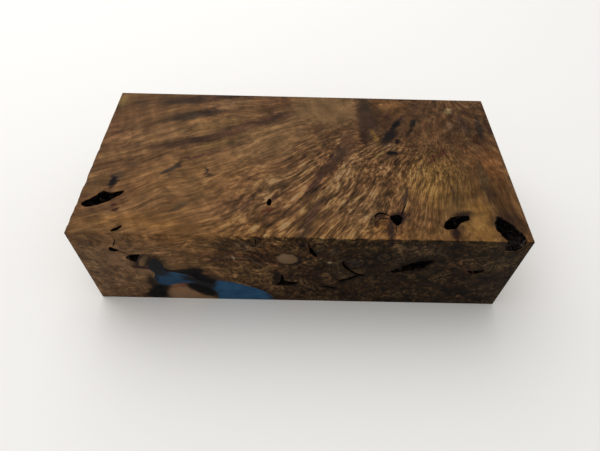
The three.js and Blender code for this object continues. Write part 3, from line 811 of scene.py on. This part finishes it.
# The wood's material, solid through the block.
def burlWood():
    wood = bpy.data.materials.new("sandedMapleBurl")
    wood.use_nodes = True
    tree = wood.node_tree
    shader = tree.nodes["Principled BSDF"]
    source = addNode(tree, "TexCoord", {})
    here = addNode(
        tree, "VectorMath", {0: source.outputs["Object"], 1: 1 / mm}, operation="SCALE",
    )
    swayed = shaken(tree, here, *burl["sway"])
    rippled = shaken(tree, swayed, *burl["ripple"])
    grain, fibre = grainNodes(tree, rippled)

    # broad bands of colour along the grain
    band = grainFigure(tree, grain, *burl["band"])
    colour = addNode(tree, "ValToRGB", {0: band}, stops=burl["bandStops"])
    warmth = grainFigure(tree, grain, *burl["warmth"])
    warm = addNode(
        tree, "MapRange",
        {0: warmth, 1: burl["warmFrom"], 2: burl["warmTo"], 3: 0, 4: burl["warmShare"]},
    )
    colour = addNode(
        tree, "Mix", {0: warm, 1: colour, 2: paint(burl["warmTint"])}, data_type="RGBA",
    )

    # stains, their edges drawn out by the fibres
    fineLines = grainFigure(tree, grain, *burl["fineLines"])
    drag = addNode(tree, "Math", {0: fineLines, 1: 0.5}, operation="SUBTRACT")
    pull = addNode(tree, "Math", {0: drag, 1: burl["rag"]}, operation="MULTIPLY")
    drawn = addNode(tree, "VectorMath", {0: fibre, 1: pull}, operation="SCALE")
    ragged = addNode(tree, "VectorMath", {0: here, 1: drawn}, operation="ADD")
    ragged = shaken(tree, ragged, *burl["stir"])
    colour = layMarks(tree, colour, ragged, topMarks, False)
    loose = shaken(tree, here, *burl["loosen"])
    colour = layMarks(tree, colour, loose, frontTones, True)

    # fibres, flecks and the curl across them, all quieter away from the middle of the fan
    centre, half, turn, boldTo, fadedAt, least = burl["bold"]
    zone = ovalNodes(tree, here, centre, half, turn, False)
    strength = addNode(
        tree, "MapRange", {0: zone, 1: boldTo, 2: fadedAt, 3: 1, 4: least},
        interpolation_type="SMOOTHSTEP",
    )
    for centre, half, turn, stays in burl["calm"]:
        away = ovalNodes(tree, here, centre, half, turn, False)
        left = addNode(
            tree, "MapRange",
            {0: away, 1: burl["calmFrom"], 2: burl["calmTo"], 3: stays, 4: 1},
            interpolation_type="SMOOTHSTEP",
        )
        strength = addNode(tree, "Math", {0: strength, 1: left}, operation="MULTIPLY")
    along = addNode(tree, "SeparateXYZ", {0: grain}).outputs["Z"]
    close = addNode(
        tree, "MapRange",
        {0: along, 1: burl["streakFrom"], 2: burl["streakFull"], 3: 0, 4: burl["streakContrast"]},
        interpolation_type="SMOOTHSTEP",
    )
    colour = worked(tree, colour, grainFigure(tree, grain, *burl["streaks"]), close)
    rays = grainFigure(tree, grain, *burl["rays"])
    swing = addNode(tree, "Math", {0: strength, 1: burl["rayContrast"]}, operation="MULTIPLY")
    colour = worked(tree, colour, rays, swing)
    fibres = grainFigure(tree, grain, *burl["fibres"])
    swing = addNode(tree, "Math", {0: strength, 1: burl["fibreContrast"]}, operation="MULTIPLY")
    colour = worked(tree, colour, fibres, swing)
    flecks = grainFigure(tree, grain, *burl["flecks"])
    swing = addNode(tree, "Math", {0: strength, 1: burl["fleckContrast"]}, operation="MULTIPLY")
    colour = worked(tree, colour, flecks, swing)
    curl = grainFigure(tree, grain, *burl["curl"])
    colour = worked(tree, colour, curl, burl["curlContrast"])
    mottle = addNode(tree, "TexNoise", {"Vector": rippled, **burl["mottle"]})
    colour = worked(tree, colour, mottle, burl["mottleContrast"])

    # dark threads of bark and resin that run with the grain
    threads = grainFigure(tree, grain, *burl["threads"])
    gap = addNode(tree, "Math", {0: threads, 1: 0.5}, operation="SUBTRACT")
    side = addNode(tree, "Math", {0: gap}, operation="ABSOLUTE")
    thread = addNode(
        tree, "MapRange", {0: side, 1: 0, 2: burl["threadWidth"], 3: burl["threadShare"], 4: 0},
    )
    colour = addNode(
        tree, "Mix", {0: thread, 1: colour, 2: paint(burl["threadTint"])}, data_type="RGBA",
    )

    # the oil, and the end grain that drinks more of it and goes dark
    colour = addNode(tree, "VectorMath", {0: colour, 1: burl["oil"]}, operation="MULTIPLY")
    colour = addNode(tree, "VectorMath", {0: colour, 1: burl["palest"]}, operation="MINIMUM")
    outward = addNode(
        tree, "VectorMath", {0: source.outputs["Normal"], 1: burl["endShow"]}, operation="MULTIPLY",
    )
    facing = addNode(tree, "VectorMath", {0: fibre, 1: outward}, operation="DOT_PRODUCT")
    squareOn = addNode(tree, "Math", {0: facing}, operation="ABSOLUTE")
    dimmed = addNode(tree, "VectorMath", {0: colour, 1: burl["endTint"]}, operation="MULTIPLY")
    dim = addNode(
        tree, "MapRange", {0: squareOn, 1: burl["endFrom"], 2: burl["endFull"], 3: 0, 4: 1},
        interpolation_type="SMOOTHSTEP",
    )
    colour = addNode(tree, "Mix", {0: dim, 1: colour, 2: dimmed}, data_type="RGBA")
    burr = addNode(tree, "TexNoise", {"Vector": rippled, **burl["burr"]})
    swing = addNode(
        tree, "MapRange",
        {0: squareOn, 1: burl["burrFrom"], 2: burl["burrFull"], 3: 0, 4: burl["burrContrast"]},
    )
    colour = worked(tree, colour, burr, swing)

    # marks that lie over the figure
    near = addNode(tree, "VectorMath", {0: drawn, 1: loose}, operation="ADD")
    colour = layMarks(tree, colour, near, topSpots, False)
    colour = layMarks(tree, colour, loose, frontMarks, True)
    colour = layRings(tree, colour, loose, frontRings)

    # how far in from the nearest face, which only the walls of voids and cracks are
    centred = addNode(tree, "VectorMath", {0: here, 1: tuple(middle)}, operation="SUBTRACT")
    folded = addNode(tree, "VectorMath", {0: centred}, operation="ABSOLUTE")
    halves = tuple(size / 2 - Vector((burl["endSpare"], 0, 0)))
    inset = addNode(tree, "VectorMath", {0: halves, 1: folded}, operation="SUBTRACT")
    sides = addNode(tree, "SeparateXYZ", {0: inset}).outputs
    nearest = addNode(tree, "Math", {0: sides["Y"], 1: sides["Z"]}, operation="MINIMUM")
    nearest = addNode(tree, "Math", {0: nearest, 1: sides["X"]}, operation="MINIMUM")
    # this mask paints the walls of voids and cracks dark: partly their real bark lining, partly
    # painted shade deepening into the hollow
    inVoid = addNode(
        tree, "MapRange", {0: nearest, 1: burl["wallFrom"], 2: burl["wallTo"], 3: 0, 4: 1},
        interpolation_type="SMOOTHSTEP",
    )
    # dark bark and painted shade, with painted glints at the lightest stop
    wallBarkShadeAndGlints = addNode(tree, "ValToRGB", {0: burr}, stops=burl["wallBarkShadeAndGlintStops"])
    # painted highlights and lit facets on the corner void's walls
    wallBarkShadeAndGlints = layMarks(tree, wallBarkShadeAndGlints, loose, burl["paintedGleams"], False)
    colour = addNode(tree, "Mix", {0: inVoid, 1: colour, 2: wallBarkShadeAndGlints}, data_type="RGBA")
    tree.links.new(colour.outputs[2], shader.inputs["Base Color"])

    rough = addNode(
        tree, "MapRange",
        {0: flecks, 1: noiseLow, 2: noiseHigh, 3: burl["roughness"][0], 4: burl["roughness"][1]},
    )
    rough = addNode(tree, "Mix", {0: inVoid, 1: rough, 2: burl["wallRoughness"]})
    tree.links.new(rough.outputs[0], shader.inputs["Roughness"])
    shader.inputs["Specular IOR Level"].default_value = burl["sheen"]
    sanded = addNode(tree, "Math", {0: 1, 1: inVoid}, operation="SUBTRACT")
    relief = addNode(
        tree, "Bump", {"Strength": sanded, "Distance": burl["relief"], "Height": fibres},
    )
    tree.links.new(relief.outputs[0], shader.inputs["Normal"])
    return wood


# Epoxy cast with a blue dye, then sanded flush to satin: the eye sees an even deep blue with a
# faint sheen, smoky where bark dust washed into it along its edges.
dyed = {
    "blue": "143b59",
    "cloud": "214966",
    "clouding": {"Scale": 0.2, "Detail": 3},
    "cloudFrom": 0.4,  # blue turns to cloud as that noise goes from here
    "cloudTo": 0.65,  # to here
    "loosen": (0.5, 2, 3),  # the waves in the edges of the smoke: scale, reach and detail
    "roughness": (0.26, 0.4),
    "sheen": 0.06,  # how much of the usual gloss the sanding leaves
    "ior": 1.55,
    # Fine scratches of the sanding, drawn 0.4 mm apart so that they show.
    "scratches": {"Scale": 2.5, "Detail": 2},
    "scratchRun": 0.08,  # the share of that scale kept along the block, which draws them out
    "scratchStrength": 0.1,
    "scratchDepth": 0.00002,  # metres
    # Smoke in the resin, laid as the stains of the wood are.
    "smoke": [
        ((-38.4, 12), (6, 4.6), 0, "122a3d", 0.5, 0.6),
        ((-42, 19.4), (5.4, 3.2), 80, "050608", 1, 0.4),
        ((-41.4, 15), (2.6, 1.8), 0, "0b0f14", 0.9, 0.6),
        ((-43.9, 12), (0.9, 4.6), 0, "0a0d12", 0.8, 0.6),
        ((-29, 9), (3.5, 3.2), 0, "050608", 1, 0.3),
        ((-32.4, 11.8), (3.4, 1.7), -20, "080a0e", 1, 0.5),
        ((-42.6, 8.2), (2.4, 0.9), 0, "0e141a", 0.7, 0.7),
        ((-26.6, 3), (0.8, 4), 0, "0c1016", 0.8, 0.6),
        ((-8.6, 1.2), (1, 3), 20, "0c1016", 0.6, 0.7),
    ],
}


# The resin's material, solid through the seam.
def blueResin():
    cast = bpy.data.materials.new("castBlueEpoxy")
    cast.use_nodes = True
    tree = cast.node_tree
    shader = tree.nodes["Principled BSDF"]
    source = addNode(tree, "TexCoord", {})
    here = addNode(
        tree, "VectorMath", {0: source.outputs["Object"], 1: 1 / mm}, operation="SCALE",
    )
    cloud = addNode(tree, "TexNoise", {"Vector": here, **dyed["clouding"]})
    share = addNode(tree, "MapRange", {0: cloud, 1: dyed["cloudFrom"], 2: dyed["cloudTo"]})
    colour = addNode(
        tree, "Mix", {0: share, 1: paint(dyed["blue"]), 2: paint(dyed["cloud"])},
        data_type="RGBA",
    )
    loose = shaken(tree, here, *dyed["loosen"])
    colour = layMarks(tree, colour, loose, dyed["smoke"], True)
    tree.links.new(colour.outputs[2], shader.inputs["Base Color"])

    along = addNode(
        tree, "VectorMath", {0: here, 1: (dyed["scratchRun"], 1, 1)}, operation="MULTIPLY",
    )
    scratch = addNode(tree, "TexNoise", {"Vector": along, **dyed["scratches"]})
    rough = addNode(
        tree, "MapRange",
        {0: scratch, 1: noiseLow, 2: noiseHigh, 3: dyed["roughness"][0], 4: dyed["roughness"][1]},
    )
    tree.links.new(rough.outputs[0], shader.inputs["Roughness"])
    relief = addNode(
        tree, "Bump",
        {"Strength": dyed["scratchStrength"], "Distance": dyed["scratchDepth"], "Height": scratch},
    )
    tree.links.new(relief.outputs[0], shader.inputs["Normal"])
    shader.inputs["IOR"].default_value = dyed["ior"]
    shader.inputs["Specular IOR Level"].default_value = dyed["sheen"]
    return cast


print("tools ready")

# The block, cut by its voids, its cracks and the resin's pocket, and the resin, trimmed flush.
blankBox = sawnBlank("blank")
block = sawnBlank("burlBlock")
tools = [voidCutter(i, *spec) for i, spec in enumerate(voids["list"])]
tools += [crackCutter(i, *spec) for i, spec in enumerate(cracks["list"])]
tools.append(seamSolid("pocket"))
carve(block, tools, "DIFFERENCE")
print("block carved:", len(block.data.polygons), "faces")

resin = seamSolid("blueResinSeam")
carve(resin, [blankBox], "INTERSECT")
print("resin trimmed:", len(resin.data.polygons), "faces")

for piece in (block, resin):
    piece.data.transform(Matrix.Scale(mm, 4))

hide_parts("burl_block")
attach(block, "root")
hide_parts("blue_resin_seam")
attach(resin, "root")

for piece, finish in ((block, burlWood()), (resin, blueResin())):
    piece.data.materials.clear()
    piece.data.materials.append(finish)
print("finishes on")

# The floor and the light, in metres: a wide sheet of matt white card under a bright even sky,
# with one soft lamp behind the block and to its left.
stage = {
    "floorColour": "f4f2ee",
    "floorRoughness": 0.9,  # matt, so that it shows soft shadows and no reflection
    "floorSize": 6,
    "skyStrength": 0.6,
    "keyPower": 4.2,
    "keySize": 0.9,
    "keyPlace": Vector((-0.22, 0.34, 0.64)),
    "keyAim": Vector((0, 0, 0.02)),
}

bm = bmesh.new()
bmesh.ops.create_grid(bm, x_segments=1, y_segments=1, size=stage["floorSize"] / 2)
floor = asObject(bm, "floor")
card = bpy.data.materials.new("mattWhiteCard")
card.use_nodes = True
shader = card.node_tree.nodes["Principled BSDF"]
shader.inputs["Base Color"].default_value = paint(stage["floorColour"])
shader.inputs["Roughness"].default_value = stage["floorRoughness"]
floor.data.materials.append(card)

sky = bpy.data.worlds.new("studio")
sky.use_nodes = True
background = sky.node_tree.nodes["Background"]
background.inputs["Color"].default_value = (1, 1, 1, 1)
background.inputs["Strength"].default_value = stage["skyStrength"]
bpy.context.scene.world = sky

lamp = bpy.data.lights.new("key", "AREA")
lamp.energy = stage["keyPower"]
lamp.size = stage["keySize"]
key = bpy.data.objects.new("key", lamp)
key.location = stage["keyPlace"]
key.rotation_euler = (stage["keyAim"] - key.location).to_track_quat("-Z", "Y").to_euler()
bpy.context.scene.collection.objects.link(key)

# The camera: its place in block lengths from the middle of the underside, angles in degrees,
# and its lens and sensor in millimetres.
view = {
    "place": Vector((-0.0091, -0.842, 1.0455)),
    "lookDown": 51.16,
    "swing": -0.73,
    "roll": 1.76,
    "lens": 27.81,
    "sensor": 36,
    "nearest": 0.005,  # metres, what it starts to see at
}

lens = bpy.data.cameras.new("camera")
lens.lens = view["lens"]
lens.sensor_width = view["sensor"]
lens.clip_start = view["nearest"]
camera = bpy.data.objects.new("camera", lens)
turn = (
    Matrix.Rotation(math.radians(view["swing"]), 4, "Z")
    @ Matrix.Rotation(math.radians(90 - view["lookDown"]), 4, "X")
    @ Matrix.Rotation(math.radians(view["roll"]), 4, "Z")
)
camera.matrix_world = Matrix.Translation(view["place"] * size.x * mm) @ turn
bpy.context.scene.collection.objects.link(camera)
bpy.context.scene.camera = camera
bpy.context.scene.view_settings.view_transform = "Standard"
print("stage set")
